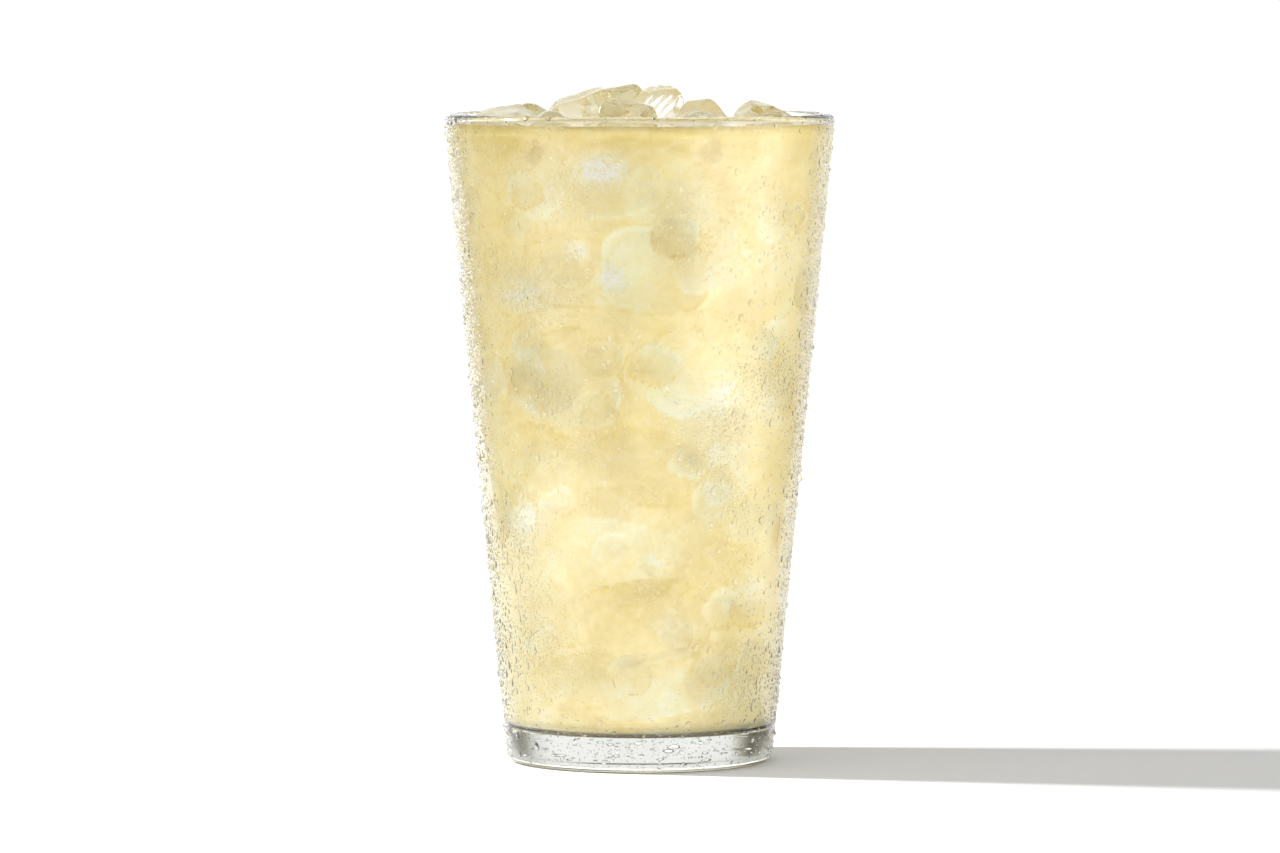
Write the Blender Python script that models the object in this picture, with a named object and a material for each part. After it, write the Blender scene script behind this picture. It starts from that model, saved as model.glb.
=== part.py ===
"""A tapered pint glass filled with lemonade and ice, in metres, +Z up.

The origin is the centre of the foot, on the surface that the glass stands on. The glass, the lemonade and
each piece of ice that rises out of the lemonade are separate closed solids.
"""

import math

import bmesh
import bpy
import numpy as np
from mathutils import Euler, Vector

MM = 0.001

# The glass
HEIGHT = 149 * MM
MOUTH_RADIUS = 44.65 * MM  # outside, where the wall's straight line would meet the mouth's plane
FOOT_LINE_RADIUS = 30.4 * MM  # outside, where the wall's straight line would meet the table
HEEL_RADIUS = 2.4 * MM  # the rounded corner between wall and foot
MOUTH_WALL = 3.0 * MM
FOOT_WALL = 4.4 * MM
BASE_THICKNESS = 8.0 * MM
FLOOR_FILLET = 4.0 * MM  # the rounded corner inside, between wall and floor
RECESS_RADIUS = 21.0 * MM  # the shallow hollow under the foot
RECESS_DEPTH = 0.8 * MM
RECESS_SLOPE = 2.5 * MM  # how far the hollow's edge takes to come down to the table

# The lemonade
LEVEL = 147.0 * MM
GAP = 0.3 * MM  # between the solids, so that none touches its neighbour

# Facets
TURNS = 72
ARC_STEPS = 5
ICE_CUTS = 4

# Each piece of ice that rises out of the lemonade: where its middle is across the mouth, how high its top
# reaches, its half sizes and its turn in degrees. X is to the right, Y is away from the viewer.
ICE = {
    "ice_left_front": dict(at=(-30.4, -9.2), top=151.3, half=(7.2, 8.0, 7.4), turn=(10, -26, 20)),
    "ice_left_back": dict(at=(-23.6, 11.4), top=151.1, half=(7.6, 7.8, 7.6), turn=(-16, 26, -12)),
    "ice_slab": dict(at=(-11.6, -5.2), top=155.0, half=(8.6, 7.6, 8.4), turn=(5, -19, 6)),
    "ice_middle_back": dict(at=(-4.8, 14.0), top=155.4, half=(6.8, 6.8, 8.4), turn=(-10, -6, 14)),
    "ice_middle_front": dict(at=(-3.4, -21.8), top=152.8, half=(6.8, 7.0, 7.6), turn=(14, 16, -18)),
    "ice_ribbed": dict(at=(4.5, 0.2), top=155.4, half=(5.8, 6.6, 9.2), turn=(4, 5, -4)),
    "ice_right_front": dict(at=(14.8, -13.8), top=152.7, half=(6.0, 7.2, 7.0), turn=(12, -38, 12)),
    "ice_right": dict(at=(27.8, 5.4), top=151.9, half=(7.6, 8.0, 7.8), turn=(-8, 24, 8)),
    "ice_right_low": dict(at=(31.2, -11.8), top=149.9, half=(5.6, 6.4, 6.4), turn=(-14, -12, -24)),
    "ice_back_right": dict(at=(15.6, 22.0), top=149.1, half=(7.4, 7.2, 7.2), turn=(24, -20, 36)),
    "ice_back": dict(at=(-0.4, 31.4), top=149.1, half=(7.4, 6.4, 7.0), turn=(-12, -8, 4)),
    "ice_back_left": dict(at=(-17.4, 26.8), top=149.1, half=(6.8, 6.2, 7.0), turn=(10, 14, 30)),
    "ice_front_left": dict(at=(-20.0, -24.9), top=150.2, half=(6.8, 6.6, 7.0), turn=(-18, 12, 38)),
    "ice_front_right": dict(at=(12.2, -30.8), top=150.1, half=(7.0, 6.2, 7.0), turn=(12, -10, 8)),
}
ICE_ROUNDNESS = 3.4  # 2 would be a ball, and a high number a sharp box
ICE_LUMP = 0.45 * MM  # how far melting has worn the faces out of true
ICE_DENT = 0.9 * MM  # the hollow that the mould leaves in one face


def finish(name, colour, roughness, transmission=0.0, ior=1.45):
    """A plain material of one colour."""
    material = bpy.data.materials.new(name)
    material.use_nodes = True
    shader = material.node_tree.nodes["Principled BSDF"]
    shader.inputs["Base Color"].default_value = (*colour, 1.0)
    shader.inputs["Roughness"].default_value = roughness
    shader.inputs["Metallic"].default_value = 0.0
    shader.inputs["Transmission Weight"].default_value = transmission
    shader.inputs["IOR"].default_value = ior
    material.diffuse_color = (*colour, 1.0 - 0.6 * transmission)
    return material


def outer_radius(z):
    """The wall's outside at height z."""
    return FOOT_LINE_RADIUS + (MOUTH_RADIUS - FOOT_LINE_RADIUS) * z / HEIGHT


def inner_radius(z):
    """The wall's inside at height z: the wall thins evenly from foot to mouth."""
    return outer_radius(z) - (FOOT_WALL + (MOUTH_WALL - FOOT_WALL) * z / HEIGHT)


def arc(centre, radius, start, end, steps=ARC_STEPS):
    """Points (r, z) on an arc, with its angles in degrees counted from the outward direction."""
    angles = np.radians(np.linspace(start, end, steps + 1))
    return [(centre[0] + radius * math.cos(a), centre[1] + radius * math.sin(a)) for a in angles]


def corner_arc(wall_radius, floor_z, radius, lean):
    """The rounded corner between a floor and a wall that leans outwards by lean degrees, from floor to wall.

    Its centre is one radius above the floor and one radius inside the wall.
    """
    middle_z = floor_z + radius
    middle_r = wall_radius(middle_z) - radius / math.cos(math.radians(lean))
    return arc((middle_r, middle_z), radius, -90, -lean)


def lean_of(wall_radius):
    """How far a straight wall leans outwards from the vertical, in degrees."""
    return math.degrees(math.atan2(wall_radius(HEIGHT) - wall_radius(0.0), HEIGHT))


def glass_profile():
    """The glass's section from the middle of the foot, up the outside, over the lip and down to the floor."""
    foot = [
        (0.0, RECESS_DEPTH),
        (RECESS_RADIUS, RECESS_DEPTH),
        (RECESS_RADIUS + RECESS_SLOPE, 0.0),
    ]
    heel = corner_arc(outer_radius, 0.0, HEEL_RADIUS, lean_of(outer_radius))
    lip_radius = MOUTH_WALL / 2
    lip_z = HEIGHT - lip_radius
    lip_middle = (outer_radius(lip_z) - lip_radius, lip_z)
    lip = arc(lip_middle, lip_radius, -lean_of(outer_radius), 180 - lean_of(inner_radius), 2 * ARC_STEPS)
    fillet = corner_arc(inner_radius, BASE_THICKNESS, FLOOR_FILLET, lean_of(inner_radius))
    return foot + heel + lip + fillet[::-1] + [(0.0, BASE_THICKNESS)]


def lemonade_profile():
    """The lemonade's section from the middle of its underside, up beside the wall and back to the axis."""

    def side(z):
        return inner_radius(z) - GAP

    corner = corner_arc(side, BASE_THICKNESS + GAP, FLOOR_FILLET, lean_of(inner_radius))
    return [(0.0, BASE_THICKNESS + GAP)] + corner + [(side(LEVEL), LEVEL), (0.0, LEVEL)]


def turned(name, profile, material):
    """A solid of revolution about Z. The profile starts and ends on the axis and runs anticlockwise."""
    mesh = bmesh.new()
    angles = np.arange(TURNS) * 2 * math.pi / TURNS
    rings = []
    for r, z in profile[1:-1]:
        rings.append([mesh.verts.new((r * math.cos(a), r * math.sin(a), z)) for a in angles])
    first = mesh.verts.new((0.0, 0.0, profile[0][1]))
    last = mesh.verts.new((0.0, 0.0, profile[-1][1]))
    for i in range(TURNS):
        j = (i + 1) % TURNS
        mesh.faces.new((first, rings[0][j], rings[0][i]))
        mesh.faces.new((last, rings[-1][i], rings[-1][j]))
        for low, high in zip(rings, rings[1:]):
            mesh.faces.new((low[i], low[j], high[j], high[i]))
    bmesh.ops.recalc_face_normals(mesh, faces=mesh.faces)
    return placed(name, mesh, material)


def placed(name, mesh, material):
    """Puts a finished mesh into the scene as a named object, smooth but for its true edges."""
    data = bpy.data.meshes.new(name)
    mesh.to_mesh(data)
    mesh.free()
    data.materials.append(material)
    data.shade_smooth()
    data.set_sharp_from_angle(angle=math.radians(35))
    made = bpy.data.objects.new(name, data)
    bpy.context.scene.collection.objects.link(made)
    return made


def ice_surface(direction, half, phase):
    """A point on a worn cube of ice, in metres from its middle, in the direction given.

    It is a rounded box, moved out and in by slow waves, with the mould's hollow in its upper face.
    """
    x, y, z = direction
    scale = sum(abs(c) ** ICE_ROUNDNESS for c in direction) ** (1 / ICE_ROUNDNESS)
    point = Vector((x * half[0], y * half[1], z * half[2])) * (MM / scale)
    wave = math.sin(2.1 * x + phase) * math.cos(1.7 * y - phase) + math.sin(2.6 * z + 2 * phase)
    hollow = max(0.0, 1 - (x * x + y * y) / 0.6) if z > 0.99 else 0.0
    out = point.normalized()
    return point + out * (ICE_LUMP * wave / 2 - ICE_DENT * hollow)


def ice_piece(name, spec, phase, material, swell=0.0):
    """One piece of ice. It is moved so that its highest point comes at the height in its spec."""
    mesh = bmesh.new()
    bmesh.ops.create_cube(mesh, size=2.0)
    bmesh.ops.subdivide_edges(mesh, edges=mesh.edges, cuts=ICE_CUTS, use_grid_fill=True)
    turn = Euler([math.radians(a) for a in spec["turn"]]).to_matrix()
    for vertex in mesh.verts:
        vertex.co = turn @ ice_surface(vertex.co.copy(), spec["half"], phase)
    rise = spec["top"] * MM - max(v.co.z for v in mesh.verts)
    if swell:
        mesh.normal_update()
        for vertex, normal in [(v, v.normal.copy()) for v in mesh.verts]:
            vertex.co += normal * swell
    bmesh.ops.translate(mesh, verts=mesh.verts, vec=(spec["at"][0] * MM, spec["at"][1] * MM, rise))
    return placed(name, mesh, material)


def cut_round(target, cutters):
    """Takes the cutters' shapes out of the target, which keeps the cut as a modifier."""
    group = bpy.data.collections.new("pockets for the ice")
    bpy.context.scene.collection.children.link(group)
    for cutter in cutters:
        bpy.context.scene.collection.objects.unlink(cutter)
        group.objects.link(cutter)
        cutter.hide_render = True
        cutter.display_type = "WIRE"
    cut = target.modifiers.new("pockets", "BOOLEAN")
    cut.operation = "DIFFERENCE"
    cut.operand_type = "COLLECTION"
    cut.collection = group
    cut.solver = "EXACT"


def main():
    for old in list(bpy.data.objects):
        bpy.data.objects.remove(old)
    clear_glass = finish("clear soda glass", (0.93, 0.96, 0.94), 0.03, 1.0, 1.5)
    cloudy_lemonade = finish("cloudy lemonade", (0.87, 0.77, 0.42), 0.2, 0.3, 1.34)
    melting_ice = finish("melting ice", (0.95, 0.94, 0.82), 0.08, 0.8, 1.31)
    turned("glass", glass_profile(), clear_glass)
    lemonade = turned("lemonade", lemonade_profile(), cloudy_lemonade)
    pockets = []
    for number, (name, spec) in enumerate(ICE.items()):
        ice_piece(name, spec, float(number), melting_ice)
        pockets.append(ice_piece(name + "_pocket", spec, float(number), melting_ice, swell=1.2 * GAP))
    cut_round(lemonade, pockets)


main()
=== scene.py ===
# %% [markdown]
# # A glass of iced lemonade
#
# This lesson dresses a CAD model of a tapered pint glass: the glass, the lemonade, the ice that stands out
# of it, the ice that is sunk in it, and the dew on the outside. Every shape is a formula worked out with
# numpy on a grid of numbers, and every finish starts from what the real material is.

import math

import bpy
import numpy as np
from mathutils import Euler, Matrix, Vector


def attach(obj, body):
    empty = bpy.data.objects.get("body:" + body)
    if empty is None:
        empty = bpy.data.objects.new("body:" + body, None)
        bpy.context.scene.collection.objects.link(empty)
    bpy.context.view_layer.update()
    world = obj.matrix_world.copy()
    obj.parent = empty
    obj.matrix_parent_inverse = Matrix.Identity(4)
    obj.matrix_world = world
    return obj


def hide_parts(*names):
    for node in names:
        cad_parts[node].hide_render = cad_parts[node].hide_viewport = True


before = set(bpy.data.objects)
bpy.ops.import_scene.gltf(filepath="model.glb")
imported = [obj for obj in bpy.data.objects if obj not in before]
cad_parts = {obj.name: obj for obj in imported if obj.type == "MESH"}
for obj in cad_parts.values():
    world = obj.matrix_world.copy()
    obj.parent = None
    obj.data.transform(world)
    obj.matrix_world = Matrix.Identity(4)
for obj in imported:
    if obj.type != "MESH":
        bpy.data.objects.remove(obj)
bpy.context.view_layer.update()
MM = 0.001
print("nodes:", ", ".join(sorted(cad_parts)))

# %% [markdown]
# ## The camera and the studio
#
# The glass was photographed from a little above its rim, from far off with a long lens, so its sides hardly
# converge. A camera can be aimed by eye, but here its height comes from the glass itself: the mouth shows
# as an ellipse 1.3 degrees open and the foot as one 6 degrees open, and only one height and distance give
# both. The lens then follows from the scale of 4.35 pixels to a millimetre.

# %% Camera
IMAGE_WIDTH = 1280
PIXELS_PER_MM = 4.35
CAMERA_PLACE = Vector((0.0, -1.8, 0.192))
LOOKS_AT = Vector((0.0001, 0.0, 0.0770))

lens = bpy.data.cameras.new("camera")
camera = bpy.data.objects.new("camera", lens)
bpy.context.scene.collection.objects.link(camera)
camera.location = CAMERA_PLACE
camera.rotation_euler = (LOOKS_AT - CAMERA_PLACE).to_track_quat("-Z", "Y").to_euler()
lens.sensor_width = 36.0
lens.lens = 36.0 * (LOOKS_AT - CAMERA_PLACE).length / (IMAGE_WIDTH / PIXELS_PER_MM * MM)
lens.clip_end = 100.0
bpy.context.scene.camera = camera
print(f"lens {lens.lens:.1f} mm")

# %% [markdown]
# A node tree is easier to read when each node is one line. This helper adds one node, sets what is given
# and links what is given, and it is the only helper that the materials need. Hex colours are what a colour
# picker shows, so one function turns them into the linear numbers that a renderer adds up.


# %% Node and colour helpers
def node(tree, kind, inputs=None, **settings):
    """Adds one node. Each entry of inputs is a value, or the output socket to link from."""
    made = tree.nodes.new(kind)
    for name, value in settings.items():
        setattr(made, name, value)
    for name, value in (inputs or {}).items():
        if isinstance(value, bpy.types.NodeSocket):
            tree.links.new(value, made.inputs[name])
        else:
            made.inputs[name].default_value = value
    return made


def linear(code):
    """The linear colour of an sRGB hex code: the sRGB curve undone, with full opacity."""
    parts = np.array([int(code[i : i + 2], 16) for i in (0, 2, 4)]) / 255
    curve = np.where(parts <= 0.04045, parts / 12.92, ((parts + 0.055) / 1.055) ** 2.4)
    return (*curve.tolist(), 1.0)


def new_material(name):
    """A material with only a Principled BSDF and its output. Gives the material, its tree and the shader."""
    made = bpy.data.materials.new(name)
    made.use_nodes = True
    return made, made.node_tree, made.node_tree.nodes["Principled BSDF"]


# %% [markdown]
# The studio is a white sweep with light from all round. Clear things show only what is around them, so a
# room of one even white would hide the dew and the thick foot. This one is brightest behind the glass,
# dark in a low strip at each side, with two wide soft boxes in front and one lamp on the left that casts the
# shadow. The dark strips are what the thick foot and the steep edges of the drops bend into view, and they
# are a little olive, as the card that stands there picks up the drink's own colour. The world's colour is
# worked out from the direction alone.

# %% World light
BACK_LIGHT = 1.04
ROOM_LIGHT = 0.62
STRIP_LIGHT = 0.10
STRIP_COLOUR = "DCD3A4"
SOFT_BOXES = (
    # towards x, y, z, then how wide in degrees and how bright
    (-0.75, -0.60, 0.22, 44, 1.1),
    (0.84, -0.42, 0.22, 52, 1.8),
)
world = bpy.data.worlds.new("studio")
bpy.context.scene.world = world
world.use_nodes = True
tree = world.node_tree
tree.nodes.clear()

direction = node(tree, "ShaderNodeTexCoord").outputs["Generated"]
part = node(tree, "ShaderNodeSeparateXYZ", {"Vector": direction})
height = node(tree, "ShaderNodeMath", {0: part.outputs["Z"]}, operation="ABSOLUTE").outputs[0]
edges = [
    # what it reads, the values that it goes between, and the share or the light that it goes from and to
    (part.outputs["X"], 0.62, 0.82, 0.0, 1.0),  # on the right
    (part.outputs["X"], -0.72, -0.5, 1.0, 0.0),  # on the left
    (part.outputs["Y"], -0.2, 0.15, 0.0, 1.0),  # not in front
    (height, 0.05, 0.12, 1.0, 0.0),  # level with the glass
    (part.outputs["Y"], 0.7, 0.9, 0.0, BACK_LIGHT - ROOM_LIGHT),  # behind
]
for x, y, z, wide, bright in SOFT_BOXES:
    aim = Vector((x, y, z)).normalized()
    near = node(tree, "ShaderNodeVectorMath", {0: direction, 1: aim}, operation="DOT_PRODUCT")
    rim, core = (math.cos(math.radians(share * wide)) for share in (1.0, 0.4))
    edges.append((near.outputs["Value"], rim, core, 0.0, bright))
glides = []
for value, low, high, first, last in edges:
    limits = {"Value": value, "From Min": low, "From Max": high, "To Min": first, "To Max": last}
    glide = node(tree, "ShaderNodeMapRange", limits, interpolation_type="SMOOTHSTEP")
    glides.append(glide.outputs["Result"])
on_right, on_left, not_in_front, level, *lights = glides

beside = node(tree, "ShaderNodeMath", {0: on_right, 1: on_left}, operation="ADD").outputs[0]
dark = node(tree, "ShaderNodeMath", {0: beside, 1: not_in_front}, operation="MULTIPLY").outputs[0]
dark = node(tree, "ShaderNodeMath", {0: dark, 1: level}, operation="MULTIPLY").outputs[0]
strips = node(tree, "ShaderNodeMath", {0: dark, 1: STRIP_LIGHT - ROOM_LIGHT}, operation="MULTIPLY").outputs[0]
light = ROOM_LIGHT
for layer in (strips, *lights):
    light = node(tree, "ShaderNodeMath", {0: light, 1: layer}, operation="ADD").outputs[0]
white, olive = linear("FFFFFF"), linear(STRIP_COLOUR)
paint = node(tree, "ShaderNodeMix", {"Factor": dark, 6: white, 7: olive}, data_type="RGBA")
glow = node(tree, "ShaderNodeBackground", {"Color": paint.outputs[2], "Strength": light})
node(tree, "ShaderNodeOutputWorld", {"Surface": glow.outputs["Background"]})
print(f"studio of {len(edges)} smooth changes of light")

# %% Lamp and floor
LAMP_AT = Vector((-1.15, 0.16, 1.05))
LAMP_SIZE = 0.16
LAMP_WATTS = 66.0
lamp_data = bpy.data.lights.new("lamp", "AREA")
lamp_data.shape = "DISK"
lamp_data.size = LAMP_SIZE
lamp_data.energy = LAMP_WATTS
lamp = bpy.data.objects.new("lamp", lamp_data)
bpy.context.scene.collection.objects.link(lamp)
lamp.location = LAMP_AT
lamp.rotation_euler = (-LAMP_AT).to_track_quat("-Z", "Y").to_euler()

# The paper reaches 0.32 m all round, and straight back it runs on to 0.9 m, so that its end lies behind the
# glass. Between the two its edge glides, because a corner there would show as a line in the wall.
PAPER_REACH, PAPER_BACK = 0.32, 0.9
PAPER_RING = 0.3
PAPER_STEPS = 96
turn = np.arange(PAPER_STEPS) * 2 * math.pi / PAPER_STEPS
ring = np.stack([np.cos(turn), np.sin(turn), np.zeros(PAPER_STEPS)], -1)
off_back = np.degrees(np.abs(turn - math.pi / 2))
far = PAPER_REACH + (PAPER_BACK - PAPER_REACH) * np.clip((55 - off_back) / 30, 0, 1)[:, None]
paper_points = np.concatenate([[[0.0, 0.0, 0.0]], ring * PAPER_RING, ring * far])
here = 1 + np.arange(PAPER_STEPS)
after = 1 + (np.arange(PAPER_STEPS) + 1) % PAPER_STEPS
paper_faces = np.stack([0 * here, here, after], -1).tolist()
paper_faces += np.stack([here, here + PAPER_STEPS, after + PAPER_STEPS, after], -1).tolist()
floor_mesh = bpy.data.meshes.new("floor")
floor_mesh.from_pydata(paper_points.tolist(), [], paper_faces)
floor = bpy.data.objects.new("floor", floor_mesh)
bpy.context.scene.collection.objects.link(floor)
paper, _, shader = new_material("matt white studio paper")
shader.inputs["Base Color"].default_value = linear("CCCCCB")
shader.inputs["Roughness"].default_value = 0.9
shader.inputs["Specular IOR Level"].default_value = 0.1
floor_mesh.materials.append(paper)

scene = bpy.context.scene
scene.view_settings.view_transform = "Standard"
scene.cycles.max_bounces = 20
scene.cycles.transmission_bounces = 20
scene.cycles.transparent_max_bounces = 12
scene.cycles.diffuse_bounces = 4
scene.cycles.glossy_bounces = 6
scene.cycles.blur_glossy = 0.0
scene.cycles.sample_clamp_indirect = 6.0

# %% [markdown]
# ## Meshes from grids of numbers
#
# Most pieces here are a grid of points, rows by columns, whose columns close into rings. The helper joins
# neighbours into four-sided faces and closes each end with one pole point.


# %% Mesh helpers
def make_piece(name, points, faces, material, flat=()):
    """Puts points and faces (arrays of whole numbers, one row to a face) into a mesh that rides on the root.

    The arrays of faces whose numbers are in flat keep their flat look, so the edge round them stays sharp.
    """
    mesh = bpy.data.meshes.new(name)
    sizes = np.concatenate([np.full(len(f), f.shape[1]) for f in faces])
    corners = np.concatenate([f.ravel() for f in faces]).astype(np.int32)
    mesh.vertices.add(len(points))
    mesh.vertices.foreach_set("co", points.astype(np.float32).ravel())
    mesh.loops.add(len(corners))
    mesh.loops.foreach_set("vertex_index", corners)
    mesh.polygons.add(len(sizes))
    mesh.polygons.foreach_set("loop_start", np.concatenate([[0], np.cumsum(sizes)[:-1]]).astype(np.int32))
    smooth = np.concatenate([np.full(len(f), k not in flat) for k, f in enumerate(faces)])
    mesh.polygons.foreach_set("use_smooth", smooth)
    mesh.update(calc_edges=True)
    mesh.validate()
    mesh.materials.append(material)
    made = bpy.data.objects.new(name, mesh)
    bpy.context.scene.collection.objects.link(made)
    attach(made, "root")
    triangles = int((sizes - 2).sum())
    print(f"{name}: {triangles} triangles, {len(points)} points")
    return made


def ring_faces(rows, columns):
    """Faces of a grid whose columns close into rings, and the two fans that close it on poles.

    Point r * columns + c is row r, column c. The first pole follows the grid, and the last pole follows it.
    """
    r, c = np.meshgrid(np.arange(rows - 1), np.arange(columns), indexing="ij")
    here = r * columns + c
    beside = r * columns + (c + 1) % columns
    quads = np.stack([here, beside, beside + columns, here + columns], -1).reshape(-1, 4)
    c = np.arange(columns)
    first, last = rows * columns, rows * columns + 1
    start = np.stack([np.full(columns, first), (c + 1) % columns, c], -1)
    top = (rows - 1) * columns
    end = np.stack([np.full(columns, last), top + c, top + (c + 1) % columns], -1)
    return [quads, start, end]


def turned(profile, columns):
    """Points of a profile (r, z) carried round the Z axis. Its two ends lie on the axis and become poles."""
    angle = np.arange(columns) * 2 * math.pi / columns
    r, z = profile[1:-1, 0], profile[1:-1, 1]
    grid = np.stack(
        [r[:, None] * np.cos(angle), r[:, None] * np.sin(angle), z[:, None] + 0 * angle], -1
    )
    poles = [[0.0, 0.0, profile[0, 1]], [0.0, 0.0, profile[-1, 1]]]
    return np.concatenate([grid.reshape(-1, 3), poles])


# %% [markdown]
# ## The glass
#
# A pint glass is pressed from soda-lime glass: a gob drops into an iron mould, a plunger shapes the inside,
# and a flame rounds the lip. That gives it a thick foot, a wall that thins towards the lip, a soft heel and a
# shallow hollow under the foot. It could be turned with a Screw modifier, but a profile of numbers keeps
# every radius in sight, and it is the CAD model's own profile with finer arcs.

# %% The glass's measures
HEIGHT = 149.0
MOUTH_RADIUS = 44.65
FOOT_LINE_RADIUS = 30.4
HEEL_RADIUS = 2.4
MOUTH_WALL = 3.0
FOOT_WALL = 4.4
BASE_THICKNESS = 8.0
FLOOR_FILLET = 4.0
RECESS_RADIUS = 21.0
RECESS_DEPTH = 0.8
RECESS_SLOPE = 2.5
LEVEL = 147.0


def outer_radius(z):
    """The wall's outside at height z, both in millimetres: a straight line from foot to mouth."""
    return FOOT_LINE_RADIUS + (MOUTH_RADIUS - FOOT_LINE_RADIUS) * z / HEIGHT


def inner_radius(z):
    """The wall's inside: the outside less a wall that thins evenly from foot to mouth."""
    return outer_radius(z) - (FOOT_WALL + (MOUTH_WALL - FOOT_WALL) * z / HEIGHT)


def lean_of(radius):
    """How far a wall leans out from the vertical, in degrees."""
    return math.degrees(math.atan2(radius(HEIGHT) - radius(0.0), HEIGHT))


def arc(middle, radius, start, end, steps):
    """Points (r, z) of an arc: its middle plus the radius times the cosine and sine of each angle."""
    angle = np.radians(np.linspace(start, end, steps + 1))
    return np.stack([middle[0] + radius * np.cos(angle), middle[1] + radius * np.sin(angle)], -1)


def corner(radius_at, floor_z, radius, steps=12):
    """The rounded corner between a floor and a leaning wall. Its middle is one radius from both."""
    lean = lean_of(radius_at)
    z = floor_z + radius
    return arc((radius_at(z) - radius / math.cos(math.radians(lean)), z), radius, -90, -lean, steps)


def between(first, last, steps):
    """Points on the straight line between two, without its ends."""
    share = np.linspace(0, 1, steps + 2)[1:-1, None]
    return np.asarray(first) * (1 - share) + np.asarray(last) * share


# %% Glass profile and mesh
lip_radius = MOUTH_WALL / 2
lip_z = HEIGHT - lip_radius
heel = corner(outer_radius, 0.0, HEEL_RADIUS)
lip_middle = (outer_radius(lip_z) - lip_radius, lip_z)
lip = arc(lip_middle, lip_radius, -lean_of(outer_radius), 180 - lean_of(inner_radius), 24)
fillet = corner(inner_radius, BASE_THICKNESS, FLOOR_FILLET)[::-1]
glass_profile = np.concatenate(
    [
        [(0.0, RECESS_DEPTH)],
        between((0.0, RECESS_DEPTH), (RECESS_RADIUS, RECESS_DEPTH), 4),
        [(RECESS_RADIUS, RECESS_DEPTH)],
        between((RECESS_RADIUS, RECESS_DEPTH), (RECESS_RADIUS + RECESS_SLOPE, 0.0), 3),
        [(RECESS_RADIUS + RECESS_SLOPE, 0.0)],
        heel,
        between(heel[-1], lip[0], 40),
        lip,
        between(lip[-1], fillet[0], 40),
        fillet,
        between(fillet[-1], (0.0, BASE_THICKNESS), 6),
        [(0.0, BASE_THICKNESS)],
    ]
)

# %% Soda-lime glass, pressed and fire-polished
# The iron mould leaves long shallow waves in the wall, too slight to see but for how they bend what is
# behind, and fire-polishing leaves the skin between them perfectly clear. Iron in the sand tints it green
# where the eye looks along the thick foot, so the tint is an absorption with depth and not a colour. The
# waves are about 17 mm round the wall and 45 mm up it.
soda_glass, tree, shader = new_material("soda_lime_glass_pressed")
shader.inputs["Base Color"].default_value = (1.0, 1.0, 1.0, 1.0)
shader.inputs["Transmission Weight"].default_value = 1.0
shader.inputs["Roughness"].default_value = 0.0
shader.inputs["IOR"].default_value = 1.52
place = node(tree, "ShaderNodeTexCoord").outputs["Object"]
stretch = node(tree, "ShaderNodeMapping", {"Vector": place, "Scale": (60.0, 60.0, 22.0)}).outputs["Vector"]
waves = node(tree, "ShaderNodeTexNoise", {"Vector": stretch, "Scale": 1.0, "Detail": 1.0}).outputs["Fac"]
wall_waves = node(tree, "ShaderNodeBump", {"Height": waves, "Strength": 0.25, "Distance": 0.0004})
tree.links.new(wall_waves.outputs["Normal"], shader.inputs["Normal"])
depth = node(tree, "ShaderNodeVolumeAbsorption", {"Color": linear("D7DAD1"), "Density": 10.5})
tree.links.new(depth.outputs["Volume"], tree.nodes["Material Output"].inputs["Volume"])

GLASS_COLUMNS = 192
points = turned(glass_profile * MM, GLASS_COLUMNS)
glass = make_piece(
    "glass_pressed", points, ring_faces(len(glass_profile) - 2, GLASS_COLUMNS), soda_glass
)
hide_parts("glass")


def mark(piece, name, values):
    """Stores one number per point of a piece, which a material reads as an attribute."""
    layer = piece.data.attributes.new(name, "FLOAT", "POINT")
    layer.data.foreach_set("value", np.asarray(values, np.float32))


# %% [markdown]
# ## Pieces of ice
#
# Each piece is a cube from a tray, worn round by the drink. A cube with a Bevel would keep its flat faces,
# so the form is a rounded box instead: a direction is divided by its own length measured with a high power,
# which leaves soft edges, and slow waves then wear it out of true. Planes that cut off what stands beyond
# them leave the flat chips that catch the light. A grid on each face of a cube gives even directions.


# %% Ice form
def cube_grid(steps):
    """Directions on a cube's surface, max norm 1, and its four-sided faces, with the seams merged.

    Each of the six faces is a grid of two numbers from -1 to 1, spread by a tangent so that they stay even.
    """
    line = np.tan(np.linspace(-math.pi / 4, math.pi / 4, steps + 1))
    u, v = np.meshgrid(line, line, indexing="ij")
    one = np.ones_like(u)
    sides = [(one, u, v), (-one, v, u), (v, one, u), (u, -one, v), (u, v, one), (v, u, -one)]
    all_points = np.concatenate([np.stack(side, -1).reshape(-1, 3) for side in sides])
    i, j = np.meshgrid(np.arange(steps), np.arange(steps), indexing="ij")
    here = i * (steps + 1) + j
    square = np.stack([here, here + steps + 1, here + steps + 2, here + 1], -1).reshape(-1, 4)
    all_faces = np.concatenate([square + k * (steps + 1) ** 2 for k in range(6)])
    rounded = np.round(all_points * 1e6).astype(np.int64)
    _, first, merged = np.unique(rounded, axis=0, return_index=True, return_inverse=True)
    return all_points[first], merged.ravel()[all_faces]


ICE_ROUNDNESS = 3.4  # 2 would be a ball and more is squarer
ICE_LUMP = 0.45  # mm that the waves move the form
ICE_DENT = 0.9  # mm that the mould's hollow goes in


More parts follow.
